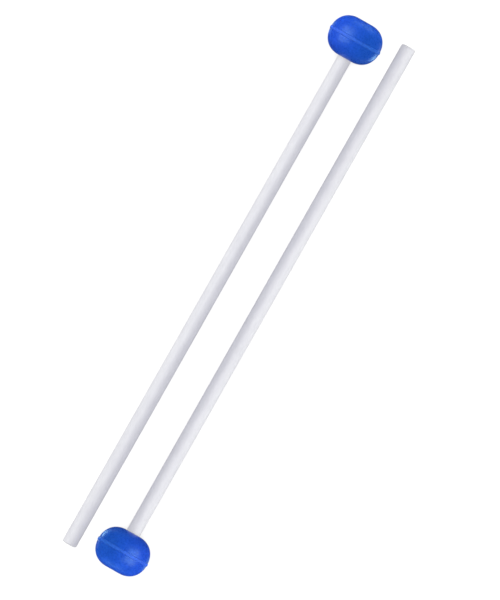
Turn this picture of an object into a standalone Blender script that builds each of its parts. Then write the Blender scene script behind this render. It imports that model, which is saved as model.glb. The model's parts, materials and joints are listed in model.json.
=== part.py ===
"""A pair of glockenspiel mallets: round plastic sticks with moulded, barrel-shaped heads.

Metres, +Z up. The two mallets lie side by side on a table along Y, heads at opposite ends. The
origin is on the table, under the middle of the pair. Each mallet touches the table with the belt
of its head and with the tail of its stick, so it leans a little, head end up.
"""
import math

import bpy
from mathutils import Matrix

# Driving dimensions of one mallet.
LENGTH = 0.215            # from the stick's tail to the head's crown
HEAD_HEIGHT = 0.015       # along the stick
HEAD_RADIUS = 0.010
BELT_RADIUS = 0.0102      # of the raised moulding belt round the middle of the head
BELT_WIDTH = 0.0011
CROWN_RADIUS = 0.00265    # of the small flat at the crown
HEAD_POWER = 2.15         # of the superellipse from belt to crown, where 2 is a plain ellipse
TAIL_RADIUS = 0.002725
NECK_RADIUS = 0.0026      # of the stick where it enters the head
TAPER_POWER = 3           # the stick keeps its width, then narrows towards the head
TAIL_ROUNDING = 0.0006
BORE_DEPTH = 0.010        # of the blind bore that the stick is glued into
GLUE_GAP = 0.0003         # round the seated stick, and past its end

# The pair.
SPACING = 0.018           # between the two sticks' axes

# How finely the turned shapes are divided.
SIDES = 48
HEAD_ROWS = 14            # between the belt and the crown
STICK_ROWS = 8
ROUNDING_ROWS = 4
MERGE_DISTANCE = 0.00001
SHARP_ANGLE = math.radians(30)

# Worked out from the driving dimensions, along the stick from its tail.
HEAD_MIDDLE = LENGTH - HEAD_HEIGHT / 2
HEAD_BASE = LENGTH - HEAD_HEIGHT
BORE_RADIUS = NECK_RADIUS + GLUE_GAP
STICK_LENGTH = HEAD_BASE + BORE_DEPTH - GLUE_GAP
# A turned piece is lower at the middle of a side than at a corner, and it lies on a side.
SIDE_FACTOR = math.cos(math.pi / SIDES)


def stick_radius(height):
    """The stick's radius at a distance from its tail."""
    return TAIL_RADIUS - (TAIL_RADIUS - NECK_RADIUS) * min(height / HEAD_BASE, 1) ** TAPER_POWER


def stick_profile():
    """The stick's outline from its seated end down to its rounded tail, as (radius, height)."""
    points = [(0, STICK_LENGTH), (NECK_RADIUS, STICK_LENGTH)]
    for row in range(STICK_ROWS):
        height = HEAD_BASE + (TAIL_ROUNDING - HEAD_BASE) * row / STICK_ROWS
        points.append((stick_radius(height), height))
    for row in range(ROUNDING_ROWS + 1):
        turn = math.pi / 2 * row / ROUNDING_ROWS
        inset = TAIL_ROUNDING * (1 - math.cos(turn))
        points.append((TAIL_RADIUS - inset, TAIL_ROUNDING * (1 - math.sin(turn))))
    points.append((0, 0))
    return points


def half_head():
    """The head's outer side from the crown's flat to the belt, as (radius, height over the middle)."""
    belt_turn = math.asin((BELT_WIDTH / HEAD_HEIGHT) ** (HEAD_POWER / 2))
    points = []
    for row in range(HEAD_ROWS + 1):
        turn = math.pi / 2 + (belt_turn - math.pi / 2) * row / HEAD_ROWS
        bulge = (HEAD_RADIUS - CROWN_RADIUS) * math.cos(turn) ** (2 / HEAD_POWER)
        rise = HEAD_HEIGHT / 2 * math.sin(turn) ** (2 / HEAD_POWER)
        points.append((CROWN_RADIUS + bulge, rise))
    return points + [(BELT_RADIUS, BELT_WIDTH / 2)]


def head_profile():
    """The head's outline from its crown, down its side and up into the bore, as (radius, height)."""
    upper = half_head()
    lower = [(radius, -rise) for radius, rise in reversed(upper) if radius > BORE_RADIUS]
    base = -HEAD_HEIGHT / 2
    bore_end = base + BORE_DEPTH
    bore = [(BORE_RADIUS, base), (BORE_RADIUS, bore_end), (0, bore_end)]
    outline = [(0, HEAD_HEIGHT / 2)] + upper + lower + bore
    return [(radius, HEAD_MIDDLE + height) for radius, height in outline]


def resting_lean():
    """The stick's slope when the belt's lower edge and the rounded tail both touch the table."""
    belt_edge = HEAD_MIDDLE - BELT_WIDTH / 2
    slopes = []
    for radius, height in stick_profile():
        if height <= TAIL_ROUNDING:
            drop = (BELT_RADIUS - radius) * SIDE_FACTOR
            slopes.append(math.atan2(drop, belt_edge - height))
    return min(slopes)


def resting_place():
    """The first mallet's place: tail towards -Y, head towards +Y, lying on a side of its facets."""
    lean = resting_lean()
    belt_edge = HEAD_MIDDLE - BELT_WIDTH / 2
    tail_height = BELT_RADIUS * SIDE_FACTOR * math.cos(lean) - belt_edge * math.sin(lean)
    tail = Matrix.Translation((-SPACING / 2, -LENGTH / 2 * math.cos(lean), tail_height))
    along_y = Matrix.Rotation(lean - math.pi / 2, 4, "X")
    onto_a_side = Matrix.Rotation(math.pi / SIDES, 4, "Z")
    return tail @ along_y @ onto_a_side


def plastic(name, colour, roughness):
    """A moulded plastic or rubber material in one colour."""
    material = bpy.data.materials.new(name)
    material.use_nodes = True
    shader = material.node_tree.nodes["Principled BSDF"]
    shader.inputs["Base Color"].default_value = (*colour, 1)
    shader.inputs["Roughness"].default_value = roughness
    shader.inputs["Metallic"].default_value = 0
    material.diffuse_color = (*colour, 1)
    return material


def turned_mesh(name, profile, material):
    """A closed mesh turned about Z from (radius, height) points that run from top to bottom."""
    outline = bpy.data.meshes.new(name + "_outline")
    points = [(radius, 0, height) for radius, height in profile]
    edges = [(index, index + 1) for index in range(len(points) - 1)]
    outline.from_pydata(points, edges, [])
    guide = bpy.data.objects.new(name + "_outline", outline)
    bpy.context.scene.collection.objects.link(guide)
    screw = guide.modifiers.new("turn", "SCREW")
    screw.axis = "Z"
    screw.steps = SIDES
    screw.render_steps = SIDES
    screw.use_merge_vertices = True
    screw.merge_threshold = MERGE_DISTANCE
    evaluated = guide.evaluated_get(bpy.context.evaluated_depsgraph_get())
    mesh = bpy.data.meshes.new_from_object(evaluated)
    mesh.name = name
    mesh.materials.clear()
    mesh.materials.append(material)
    mesh.shade_smooth()
    mesh.set_sharp_from_angle(angle=SHARP_ANGLE)
    bpy.data.objects.remove(guide)
    bpy.data.meshes.remove(outline)
    return mesh


def add_mallet(name, place, meshes, collection):
    """One mallet: an empty at its tail, with the stick and the head parented to it."""
    holder = bpy.data.objects.new(name, None)
    holder.empty_display_size = HEAD_RADIUS
    holder.matrix_world = place
    collection.objects.link(holder)
    for part_name, mesh in meshes.items():
        part = bpy.data.objects.new(f"{name}_{part_name}", mesh)
        part.parent = holder
        collection.objects.link(part)


def main():
    for old in list(bpy.data.objects):
        bpy.data.objects.remove(old)
    collection = bpy.data.collections.new("glockenspiel_mallets")
    bpy.context.scene.collection.children.link(collection)
    stick_material = plastic("stick_plastic", (0.80, 0.80, 0.84), 0.45)
    head_material = plastic("head_rubber", (0.014, 0.078, 0.600), 0.38)
    meshes = {
        "stick": turned_mesh("stick", stick_profile(), stick_material),
        "head": turned_mesh("head", head_profile(), head_material),
    }
    place = resting_place()
    half_turn = Matrix.Rotation(math.pi, 4, "Z")
    add_mallet("mallet_1", place, meshes, collection)
    add_mallet("mallet_2", half_turn @ place, meshes, collection)
    bpy.context.view_layer.update()


main()
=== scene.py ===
"""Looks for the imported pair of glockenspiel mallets: finer pieces, materials, studio and camera.

Metres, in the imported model's frame: +Z up from the table, sticks along Y. A mallet's own frame has
its origin at the tail of the stick, +Z along the stick towards the crown, +X towards the mallet's
outer side, which is away from the other mallet, and +Y upwards.
"""
import json
import math

import bmesh
import bpy
from mathutils import Matrix, Vector, noise


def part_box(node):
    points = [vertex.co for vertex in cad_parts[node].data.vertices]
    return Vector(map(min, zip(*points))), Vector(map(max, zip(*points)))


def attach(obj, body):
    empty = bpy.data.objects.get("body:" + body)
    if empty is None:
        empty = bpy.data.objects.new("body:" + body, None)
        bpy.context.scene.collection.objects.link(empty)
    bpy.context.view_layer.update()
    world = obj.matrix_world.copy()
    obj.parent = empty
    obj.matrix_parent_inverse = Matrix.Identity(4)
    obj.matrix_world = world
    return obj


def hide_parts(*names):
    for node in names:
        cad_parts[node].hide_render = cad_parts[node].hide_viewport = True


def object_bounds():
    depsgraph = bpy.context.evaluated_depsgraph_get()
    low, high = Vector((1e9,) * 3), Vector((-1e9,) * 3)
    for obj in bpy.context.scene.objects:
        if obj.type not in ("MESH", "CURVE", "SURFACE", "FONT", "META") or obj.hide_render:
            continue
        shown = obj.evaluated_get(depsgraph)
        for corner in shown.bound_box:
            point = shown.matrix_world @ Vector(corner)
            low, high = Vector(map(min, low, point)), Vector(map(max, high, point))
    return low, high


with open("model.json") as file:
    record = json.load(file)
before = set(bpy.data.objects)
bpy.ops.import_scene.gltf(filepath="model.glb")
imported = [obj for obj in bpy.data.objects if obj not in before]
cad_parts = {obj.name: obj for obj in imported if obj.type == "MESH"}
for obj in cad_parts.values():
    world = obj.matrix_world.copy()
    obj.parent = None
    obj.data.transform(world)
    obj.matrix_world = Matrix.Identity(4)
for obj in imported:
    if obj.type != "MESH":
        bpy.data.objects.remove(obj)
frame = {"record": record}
cad_low, cad_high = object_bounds()

# The head, as in the CAD model. Metres, here and below.
HEAD_HEIGHT = 0.015
HEAD_POWER = 2.15            # of the superellipse between the belt and the flats
FLAT_RADIUS = 0.00265        # of the flats at the crown and at the base
BELT_HEIGHT = 0.0002         # how far the moulding belt stands out
BELT_WIDTH = 0.0011
BELT_EDGE = 0.00014          # over which each edge of the belt rises
BELT_HIGHLIGHT_EDGE = 0.0005         # over which the belt's paler colour, a painted highlight, fades out
WITNESS_DEPTH = 0.00004      # of the faint groove along each edge of the belt
GROOVE_REACH = 4 * BELT_EDGE  # how far past the belt the surface is finely divided
CROWN_DISH = 0.00008         # depth of the shallow dish in the crown's flat
BOX_MARGIN = 0.00001         # off each flat, so that the finer rounding stays in the CAD box
HALF_HEAD = HEAD_HEIGHT / 2 - BOX_MARGIN
BORE_DEPTH = 0.010
BORE_FIT = 0.00003           # clearance round the seated stick
HEAD_WANDER = 0.00004        # how much the moulded surface is uneven
HEAD_WANDER_LENGTH = 0.004
HEAD_SIDES = 192
HEAD_ROWS = 48               # between the belt and each flat
BELT_ROWS = 64
FLAT_ROWS = 6

# The stick, as in the CAD model.
NECK_RADIUS = 0.0026
TAPER_POWER = 3
TAIL_ROUNDING = 0.0006
END_GAP = 0.0003             # between the seated end and the end of the bore
STICK_WANDER = 0.000012
STICK_WANDER_LENGTH = 0.006
STICK_SIDES = 96
STICK_ROWS = 240
ROUNDING_ROWS = 10
SHARP_ANGLE = math.radians(50)   # between two faces, above which their edge isn't shaded smooth

# The materials. Colours and roughness are given as a pair, for the low and the high end of a noise.
CLOUD_SPAN = (0.32, 0.68)    # the part of a noise that a pair is spread over
NOISE_SPAN = (0.3, 0.7)
STICK_CLOUDS = ((0.782, 0.784, 0.834), (0.854, 0.857, 0.898))
STICK_STREAKS = ((0.784, 0.785, 0.836), (0.856, 0.858, 0.896))
STICK_STREAK_SHARE = 0.45    # of the streaks' colours in the mix with the clouds'
STICK_ROUGHNESS = (0.42, 0.54)
STICK_STREAK_DEPTH = 0.000006
STICK_GRAIN_DEPTH = 0.000006
HEAD_CLOUDS = ((0.0105, 0.081, 0.590), (0.0185, 0.112, 0.750))
HEAD_FLECKS = ((0.0100, 0.077, 0.560), (0.0200, 0.118, 0.790))
# The belt's paler blue is a painted highlight, as where the raised belt catches the light.
HEAD_BELT_HIGHLIGHT = ((0.026, 0.122, 0.710), (0.042, 0.160, 0.870))
HEAD_FLECK_SHARE = 0.5       # of the flecks' colours in the mix with the clouds'
HEAD_ROUGHNESS = (0.24, 0.38)
BELT_ROUGHNESS = 0.25      # added on the belt
HEAD_FLECK_DEPTH = 0.00004
HEAD_GRAIN_DEPTH = 0.00001

# The camera looks straight down through a long lens, turned about the vertical.
VIEW_TURN = math.radians(29.57)
VIEW_HEIGHT = 0.2145         # what the frame's long side shows
VIEW_OFFSET = (0.00395, -0.00150)   # of the frame's middle from the pair's, right and up
SUBJECT_HEIGHT = 0.0075      # of the level that VIEW_HEIGHT is measured on
LENS = 500                   # millimetres
SENSOR = 36                  # millimetres, along the frame's long side

# The studio. The floor glows, so that it stays white, and a sun straight above it, which lights only
# the floor, puts soft shadows under the mallets.
FLOOR_SIZE = 40
FLOOR_COLOUR = 0.20
FLOOR_GLOW = 0.66
SUN_STRENGTH = 8.0           # strong enough for the floor to stay near white in half shade
SUN_ANGLE = math.radians(32)
AMBIENT = 0.31
AMBIENT_GLOSS = 0.06         # how bright the surroundings show in glossy surfaces

# The lamps' colours.
WHITE = (1.0, 1.0, 1.0)
COOL = (0.45, 0.88, 1.0)     # of the gloss along the edges of the heads
VIOLET = (1.15, 0.72, 1.0)   # on the outer side of the heads
TEAL = (0.80, 1.25, 0.98)    # on the inner side of the heads
LILAC = (0.98, 0.98, 1.07)   # on the inner side of the sticks

# Each head and each stick has its own set of soft lamps, which light only that piece. A lamp's two
# angles, in degrees, are from the vertical towards the mallet's outer side, and from there up towards
# its crown. A matte lamp leaves no gloss, and a sheen lamp leaves nothing else.
LAMP_DISTANCE = 0.8
PLAIN, MATTE, SHEEN = "plain", "matte", "sheen"
HEAD_LAMPS = (               # name, the two angles, width, length, watts, colour, kind
    ("key", 44, 6, 0.55, 1.10, 2.45, WHITE, PLAIN),
    ("outer", 65, 0, 0.30, 0.55, 2.95, VIOLET, MATTE),
    ("inner", -60, 0, 0.40, 0.60, 3.10, TEAL, MATTE),
    ("beyond", 0, 100, 0.60, 0.30, 2.90, WHITE, MATTE),
    ("sheen", 36, 8, 0.45, 1.20, 11.5, WHITE, SHEEN),
    ("side_sheen", 62, 5, 0.30, 1.20, 7.60, WHITE, SHEEN),
    ("crown_sheen", -35, 95, 0.90, 0.50, 2.60, COOL, SHEEN),
    ("outer_glint", 146, 6, 0.25, 0.25, 0.32, COOL, SHEEN),
    ("inner_glint", -138, -5, 0.25, 0.22, 1.00, COOL, SHEEN),
)
STICK_LAMPS = (
    ("key", 34, 9, 0.55, 1.10, 3.15, WHITE, PLAIN),
    ("outer", 65, 0, 0.30, 0.55, 2.60, WHITE, MATTE),
    ("inner", -60, 0, 0.40, 0.60, 2.50, LILAC, MATTE),
    ("tail", 0, -100, 0.50, 0.40, 1.30, WHITE, PLAIN),
)


def spaced(first, last, steps):
    """Evenly spaced numbers from first to last, both included."""
    return [first + (last - first) * step / steps for step in range(steps + 1)]


def smooth(value):
    """0 below 0, 1 above 1, and a smooth step between."""
    value = min(max(value, 0), 1)
    return value * value * (3 - 2 * value)


def mallet_ends(number):
    """(the middle of the stick's tail, the middle of the head's crown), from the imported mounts."""
    mounts = {mount["name"]: mount for mount in frame["record"]["mounts"]}
    tail = Vector(mounts[f"mallet_{number}_tail_end"]["pos_m"])
    return tail, Vector(mounts[f"mallet_{number}_crown"]["pos_m"])


def mallet_turn(number):
    """The turn from a mallet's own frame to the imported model's, lean included."""
    tail, crown = mallet_ends(number)
    along = (crown - tail).normalized()
    outer = Vector((math.copysign(1, tail.x), 0, 0))
    return Matrix((outer, along.cross(outer), along)).transposed()


def half_width(node):
    """Half of a CAD node's width across the stick."""
    low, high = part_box(node)
    return (high.x - low.x) / 2


def body_radius(rise, head_radius):
    """The head's radius without its belt, at a height over the head's middle."""
    share = min(abs(rise) / HALF_HEAD, 1)
    bulge = (1 - share ** HEAD_POWER) ** (1 / HEAD_POWER)
    return FLAT_RADIUS + (head_radius - FLAT_RADIUS) * bulge


def head_radius_at(rise, belt_radius):
    """The head's radius with the belt and the witness grooves beside it."""
    body = body_radius(rise, belt_radius - BELT_HEIGHT)
    into_belt = (BELT_WIDTH / 2 - abs(rise)) / BELT_EDGE + 0.5
    from_groove = (abs(rise) - BELT_WIDTH / 2 - BELT_EDGE) / BELT_EDGE
    groove = WITNESS_DEPTH * math.exp(-from_groove * from_groove)
    return body + (belt_radius - body) * smooth(into_belt) - groove


def head_profile(length, belt_radius):
    """The head's outline from the crown, down its side and up into the bore."""
    middle = length - HEAD_HEIGHT / 2
    belt_zone = BELT_WIDTH / 2 + GROOVE_REACH
    nearest = math.asin((belt_zone / HALF_HEAD) ** (HEAD_POWER / 2))
    turns = spaced(math.pi / 2, nearest, HEAD_ROWS)
    upper = [HALF_HEAD * math.sin(turn) ** (2 / HEAD_POWER) for turn in turns]
    rises = upper + spaced(belt_zone, -belt_zone, BELT_ROWS)[1:-1] + [-rise for rise in reversed(upper)]
    points = [(0, middle + HALF_HEAD - CROWN_DISH)]
    for share in spaced(0, 1, FLAT_ROWS)[1:-1]:
        points.append((FLAT_RADIUS * share, middle + HALF_HEAD - CROWN_DISH * (1 - smooth(share))))
    points += [(head_radius_at(rise, belt_radius), middle + rise) for rise in rises]
    bore_radius = NECK_RADIUS + BORE_FIT
    points.append((bore_radius, middle - HALF_HEAD))
    points.append((bore_radius, middle - HALF_HEAD + BORE_DEPTH))
    points.append((0, middle - HALF_HEAD + BORE_DEPTH))
    return points


def stick_profile(length, tail_radius):
    """The stick's outline from its seated end down to its rounded tail."""
    base = length - HEAD_HEIGHT
    top = base + BORE_DEPTH - END_GAP
    points = [(0, top), (NECK_RADIUS, top)]
    for height in spaced(base, TAIL_ROUNDING, STICK_ROWS):
        taper = (tail_radius - NECK_RADIUS) * (height / base) ** TAPER_POWER
        points.append((tail_radius - taper, height))
    for turn in spaced(0, math.pi / 2, ROUNDING_ROWS)[1:]:
        inset = TAIL_ROUNDING * (1 - math.cos(turn))
        points.append((tail_radius - inset, TAIL_ROUNDING * (1 - math.sin(turn))))
    points.append((0, 0))
    return points


def uneven(point, depth, wave):
    """The point moved in towards the axis by a smooth, random part of depth."""
    share = 0.5 + 0.5 * noise.noise(point / wave)
    pull = 1 - depth * share / max(point.xy.length, depth)
    return Vector((point.x * pull, point.y * pull, point.z))


def turned_mesh(name, profile, sides, depth, wave):
    """A closed, slightly uneven mesh turned from (radius, height) points that run top to bottom.

    It has the first mallet's lean in it, so that its box is its true extent.
    """
    made = bmesh.new()
    rings = []
    for radius, height in profile:
        ring = []
        for side in range(sides if radius else 1):
            angle = 2 * math.pi * side / sides
            point = Vector((radius * math.cos(angle), radius * math.sin(angle), height))
            ring.append(made.verts.new(uneven(point, depth, wave)))
        rings.append(ring)
    for upper, lower in zip(rings, rings[1:]):
        for side in range(sides):
            after = side + 1
            corners = (
                upper[side % len(upper)],
                lower[side % len(lower)],
                lower[after % len(lower)],
                upper[after % len(upper)],
            )
            made.faces.new(dict.fromkeys(corners))
    mesh = bpy.data.meshes.new(name)
    made.to_mesh(mesh)
    made.free()
    mesh.transform(mallet_turn(1).to_4x4())
    mesh.shade_smooth()
    mesh.set_sharp_from_angle(angle=SHARP_ANGLE)
    return mesh


def add_piece(name, mesh, material, number, stands_for):
    """A visible piece at a mallet's tail, riding on that mallet in place of its CAD node."""
    piece = bpy.data.objects.new(name, mesh)
    bpy.context.scene.collection.objects.link(piece)
    from_first = mallet_turn(number) @ mallet_turn(1).inverted()
    piece.matrix_world = Matrix.Translation(mallet_ends(number)[0]) @ from_first.to_4x4()
    mesh.materials.clear()
    mesh.materials.append(material)
    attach(piece, f"mallet_{number}")
    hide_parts(stands_for)
    return piece


def new_material(name):
    """(material, its node tree, its Principled shader)."""
    material = bpy.data.materials.new(name)
    material.use_nodes = True
    tree = material.node_tree
    return material, tree, tree.nodes["Principled BSDF"]


def own_coordinates(tree, unit):
    """Coordinates in the mallet's own frame, in units of a length for each of its axes."""
    coordinates = tree.nodes.new("ShaderNodeTexCoord")
    mapping = tree.nodes.new("ShaderNodeMapping")
    mapping.vector_type = "TEXTURE"
    mapping.inputs["Rotation"].default_value = mallet_turn(1).to_euler()
    mapping.inputs["Scale"].default_value = unit
    tree.links.new(coordinates.outputs["Object"], mapping.inputs["Vector"])
    return mapping.outputs["Vector"]


def add_noise(tree, size, detail, stretch=1):
    """Noise in the mallet's own frame: features of a size in metres, stretched along the stick."""
    texture = tree.nodes.new("ShaderNodeTexNoise")
    texture.inputs["Scale"].default_value = 1
    texture.inputs["Detail"].default_value = detail
    tree.links.new(own_coordinates(tree, (size, size, size * stretch)), texture.inputs["Vector"])
    return texture.outputs["Fac"]


def add_ramp(tree, source, span, colours):
    """A colour ramp over the part of a noise in a (low, high) span."""
    ramp = tree.nodes.new("ShaderNodeValToRGB")
    for element, position, colour in zip(ramp.color_ramp.elements, span, colours):
        element.position = position
        element.color = (*colour, 1)
    tree.links.new(source, ramp.inputs["Fac"])
    return ramp.outputs["Color"]


def add_range(tree, source, span, values):
    """A number that goes through the (low, high) values as the source goes through the span."""
    remap = tree.nodes.new("ShaderNodeMapRange")
    remap.inputs["From Min"].default_value = span[0]
    remap.inputs["From Max"].default_value = span[1]
    remap.inputs["To Min"].default_value = values[0]
    remap.inputs["To Max"].default_value = values[1]
    tree.links.new(source, remap.inputs["Value"])
    return remap.outputs["Result"]


def add_sum(tree, first, second):
    """The sum of two number outputs."""
    total = tree.nodes.new("ShaderNodeMath")
    tree.links.new(first, total.inputs[0])
    tree.links.new(second, total.inputs[1])
    return total.outputs["Value"]


def add_band(tree, height, width, edge):
    """1 in a band round the stick's axis at a height in the mallet's own frame, and 0 outside it."""
    position = tree.nodes.new("ShaderNodeSeparateXYZ")
    tree.links.new(own_coordinates(tree, (1, 1, 1)), position.inputs["Vector"])
    distance = tree.nodes.new("ShaderNodeMath")
    distance.operation = "SUBTRACT"
    distance.inputs[1].default_value = height
    tree.links.new(position.outputs["Z"], distance.inputs[0])
    size = tree.nodes.new("ShaderNodeMath")
    size.operation = "ABSOLUTE"
    tree.links.new(distance.outputs["Value"], size.inputs[0])
    band = tree.nodes.new("ShaderNodeMapRange")
    band.interpolation_type = "SMOOTHSTEP"
    band.inputs["From Min"].default_value = (width + edge) / 2
    band.inputs["From Max"].default_value = (width - edge) / 2
    tree.links.new(size.outputs["Value"], band.inputs["Value"])
    return band.outputs["Result"]


def mix_colours(tree, first, second, share):
    """Two colour outputs mixed in a share that is a number or an output."""
    mix = tree.nodes.new("ShaderNodeMix")
    mix.data_type = "RGBA"
    if isinstance(share, bpy.types.NodeSocket):
        tree.links.new(share, mix.inputs["Factor"])
    else:
        mix.inputs["Factor"].default_value = share
    tree.links.new(first, mix.inputs["A"])
    tree.links.new(second, mix.inputs["B"])
    return mix.outputs["Result"]


def add_bump(tree, shader, heights):
    """Bumps on the shader from (height output, depth in metres) pairs, one on top of the other."""
    below = None
    for height, depth in heights:
        bump = tree.nodes.new("ShaderNodeBump")
        bump.inputs["Distance"].default_value = depth
        tree.links.new(height, bump.inputs["Height"])
        if below:
            tree.links.new(below, bump.inputs["Normal"])
        below = bump.outputs["Normal"]
    tree.links.new(below, shader.inputs["Normal"])


def stick_material():
    """Cool white plastic: matte, faintly clouded and streaked along its length."""
    material, tree, shader = new_material("white_plastic")
    clouds = add_noise(tree, size=0.0022, detail=4, stretch=2.5)
    streaks = add_noise(tree, size=0.0007, detail=2, stretch=30)
    grain = add_noise(tree, size=0.00025, detail=2)
    cloudy = add_ramp(tree, clouds, CLOUD_SPAN, STICK_CLOUDS)
    streaky = add_ramp(tree, streaks, NOISE_SPAN, STICK_STREAKS)
    white = mix_colours(tree, cloudy, streaky, STICK_STREAK_SHARE)
    tree.links.new(white, shader.inputs["Base Color"])
    matte = add_range(tree, clouds, NOISE_SPAN, STICK_ROUGHNESS)
    tree.links.new(matte, shader.inputs["Roughness"])
    shader.inputs["Subsurface Weight"].default_value = 0.15
    shader.inputs["Subsurface Radius"].default_value = (1.0, 1.0, 1.0)
    shader.inputs["Subsurface Scale"].default_value = 0.0010
    shader.inputs["IOR"].default_value = 1.49
    add_bump(tree, shader, ((streaks, STICK_STREAK_DEPTH), (grain, STICK_GRAIN_DEPTH)))
    return material


def head_material(belt_height):
    """Cobalt blue moulded rubber: satin, slightly clouded, and paler on the belt at that height, a
    painted highlight.
    """
    material, tree, shader = new_material("blue_rubber")
    clouds = add_noise(tree, size=0.0040, detail=4)
    flecks = add_noise(tree, size=0.0007, detail=2)
    grain = add_noise(tree, size=0.00022, detail=2)
    cloudy = add_ramp(tree, clouds, CLOUD_SPAN, HEAD_CLOUDS)
    flecked = add_ramp(tree, flecks, NOISE_SPAN, HEAD_FLECKS)
    # A paler blue on the belt: a painted highlight, as where the raised belt catches the light.
    painted_belt_highlight = add_ramp(tree, flecks, NOISE_SPAN, HEAD_BELT_HIGHLIGHT)
    blue = mix_colours(tree, cloudy, flecked, HEAD_FLECK_SHARE)
    on_belt = add_band(tree, belt_height, BELT_WIDTH, BELT_HIGHLIGHT_EDGE)
    tree.links.new(mix_colours(tree, blue, painted_belt_highlight, on_belt), shader.inputs["Base Color"])
    satin = add_range(tree, flecks, NOISE_SPAN, HEAD_ROUGHNESS)
    rougher = add_range(tree, on_belt, (0, 1), (0, BELT_ROUGHNESS))
    tree.links.new(add_sum(tree, satin, rougher), shader.inputs["Roughness"])
    shader.inputs["Subsurface Weight"].default_value = 0.1
    shader.inputs["Subsurface Radius"].default_value = (0.2, 0.5, 1.0)
    shader.inputs["Subsurface Scale"].default_value = 0.001
    shader.inputs["IOR"].default_value = 1.5
    shader.inputs["Specular IOR Level"].default_value = 0.15
    shader.inputs["Specular Tint"].default_value = (0.55, 1.0, 1.0, 1)
    add_bump(tree, shader, ((flecks, HEAD_FLECK_DEPTH), (grain, HEAD_GRAIN_DEPTH)))
    return material


def add_mallets():
    """Both mallets' visible pieces. Returns (number, head, stick) for each mallet."""
    tail, crown = mallet_ends(1)
    length = (crown - tail).length
    head_points = head_profile(length, half_width("mallet_1_head"))
    stick_points = stick_profile(length, half_width("mallet_1_stick"))
    head_mesh = turned_mesh("head", head_points, HEAD_SIDES, HEAD_WANDER, HEAD_WANDER_LENGTH)
    stick_mesh = turned_mesh("stick", stick_points, STICK_SIDES, STICK_WANDER, STICK_WANDER_LENGTH)
    rubber = head_material(length - HEAD_HEIGHT / 2)
    plastic = stick_material()
    mallets = []
    for number in (1, 2):
        head = add_piece(f"head_{number}", head_mesh, rubber, number, f"mallet_{number}_head")
        stick = add_piece(f"stick_{number}", stick_mesh, plastic, number, f"mallet_{number}_stick")
        # Bounced light passes through the heads, so that they throw no blue on the sticks.
        head.visible_diffuse = False
        mallets.append((number, head, stick))
    return mallets


def linked(name, pieces):
    """A collection of pieces, for a lamp to light or to be blocked by."""
    group = bpy.data.collections.new(name)
    for piece in pieces:
        group.objects.link(piece)
    return group


def add_floor():
    """The plain pale floor, which stays out of the mallets' reflections."""
    made = bmesh.new()
    bmesh.ops.create_grid(made, x_segments=1, y_segments=1, size=FLOOR_SIZE / 2)
    mesh = bpy.data.meshes.new("floor")
    made.to_mesh(mesh)
    made.free()
    material, _, shader = new_material("floor_paper")
    shader.inputs["Base Color"].default_value = (FLOOR_COLOUR, FLOOR_COLOUR, FLOOR_COLOUR, 1)
    shader.inputs["Specular IOR Level"].default_value = 0
    shader.inputs["Emission Color"].default_value = (1, 1, 1, 1)
    shader.inputs["Emission Strength"].default_value = FLOOR_GLOW
    mesh.materials.append(material)
    floor = bpy.data.objects.new("floor", mesh)
    bpy.context.scene.collection.objects.link(floor)
    floor.visible_diffuse = False
    floor.visible_glossy = False
    floor.visible_shadow = False
    return floor


def add_floor_sun(floor):
    """The sun straight above, which lights only the floor."""
    sun = bpy.data.lights.new("floor_sun", "SUN")
    sun.energy = SUN_STRENGTH
    sun.angle = SUN_ANGLE
    lamp = bpy.data.objects.new("floor_sun", sun)
    bpy.context.scene.collection.objects.link(lamp)
    lamp.light_linking.receiver_collection = linked("floor_sun_lights", [floor])


def add_world():
    """White beyond the floor's edge for the camera, and dimmer greys as light from all round."""
    world = bpy.data.worlds.new("studio")
    bpy.context.scene.world = world
    world.use_nodes = True
    tree = world.node_tree
    around = tree.nodes["Background"]
    around.inputs["Color"].default_value = (1, 1, 1, 1)
    around.inputs["Strength"].default_value = AMBIENT
    path = tree.nodes.new("ShaderNodeLightPath")
    last = around
    for ray, strength in (("Is Glossy Ray", AMBIENT_GLOSS), ("Is Camera Ray", 1)):
        shown = tree.nodes.new("ShaderNodeBackground")
        shown.inputs["Color"].default_value = (1, 1, 1, 1)
        shown.inputs["Strength"].default_value = strength
        mix = tree.nodes.new("ShaderNodeMixShader")
        tree.links.new(path.outputs[ray], mix.inputs["Fac"])
        tree.links.new(last.outputs[0], mix.inputs[1])
        tree.links.new(shown.outputs["Background"], mix.inputs[2])
        last = mix
    tree.links.new(last.outputs[0], tree.nodes["World Output"].inputs["Surface"])


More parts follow.
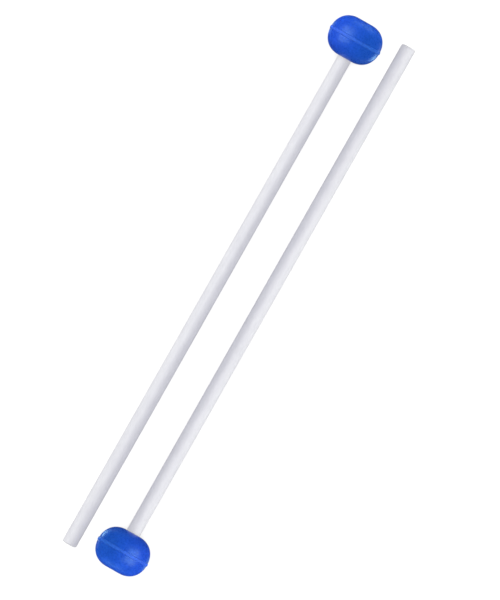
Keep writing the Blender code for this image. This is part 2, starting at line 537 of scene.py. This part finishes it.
def add_lights(number, head, stick):
    """One mallet's soft lamps. Each lights one piece, and both pieces block it."""
    for piece, lamps in ((head, HEAD_LAMPS), (stick, STICK_LAMPS)):
        for name, outward, crownward, width, length, watts, colour, kind in lamps:
            lamp = add_lamp(f"{name}_{piece.name}", width, length, watts, colour, kind)
            lamp.matrix_world = lamp_place(number, outward, crownward)
            lamp.light_linking.receiver_collection = linked(lamp.name + "_lights", [piece])
            lamp.light_linking.blocker_collection = linked(lamp.name + "_is_blocked_by", [head, stick])


def lamp_place(number, outward, crownward):
    """Where a mallet's lamp is and how it is turned, from its two angles in degrees."""
    side = math.radians(outward)
    rise = math.radians(crownward)
    across = Vector((math.sin(side), math.cos(side), 0))
    along = Vector((0, 0, 1))
    from_mallet = across * math.cos(rise) + along * math.sin(rise)
    lengthways = along * math.cos(rise) - across * math.sin(rise)
    turn = mallet_turn(number)
    towards = turn @ from_mallet
    up = turn @ lengthways
    aim = Matrix((up.cross(towards), up, towards)).transposed()
    return Matrix.Translation(towards * LAMP_DISTANCE) @ aim.to_4x4()


def add_lamp(name, width, length, watts, colour, kind):
    """A rectangular soft lamp that the camera doesn't see."""
    data = bpy.data.lights.new(name, "AREA")
    data.shape = "RECTANGLE"
    data.size = width
    data.size_y = length
    data.energy = watts
    data.color = colour
    lamp = bpy.data.objects.new(name, data)
    bpy.context.scene.collection.objects.link(lamp)
    lamp.visible_camera = False
    lamp.visible_diffuse = kind != SHEEN
    lamp.visible_glossy = kind != MATTE
    return lamp


def add_camera():
    """A long-lens camera straight above the pair, turned so that the sticks run up to the right."""
    data = bpy.data.cameras.new("camera")
    data.lens = LENS
    data.sensor_width = SENSOR
    camera = bpy.data.objects.new("camera", data)
    bpy.context.scene.collection.objects.link(camera)
    turn = Matrix.Rotation(VIEW_TURN, 3, "Z")
    offset = turn @ Vector((*VIEW_OFFSET, 0))
    distance = VIEW_HEIGHT * LENS / SENSOR
    centre = (cad_low + cad_high) / 2
    camera.location = (centre.x + offset.x, centre.y + offset.y, SUBJECT_HEIGHT + distance)
    camera.rotation_euler = (0, 0, VIEW_TURN)
    bpy.context.scene.camera = camera


bpy.context.scene.view_settings.view_transform = "Standard"
for number, head, stick in add_mallets():
    add_lights(number, head, stick)
add_floor_sun(add_floor())
add_world()
add_camera()
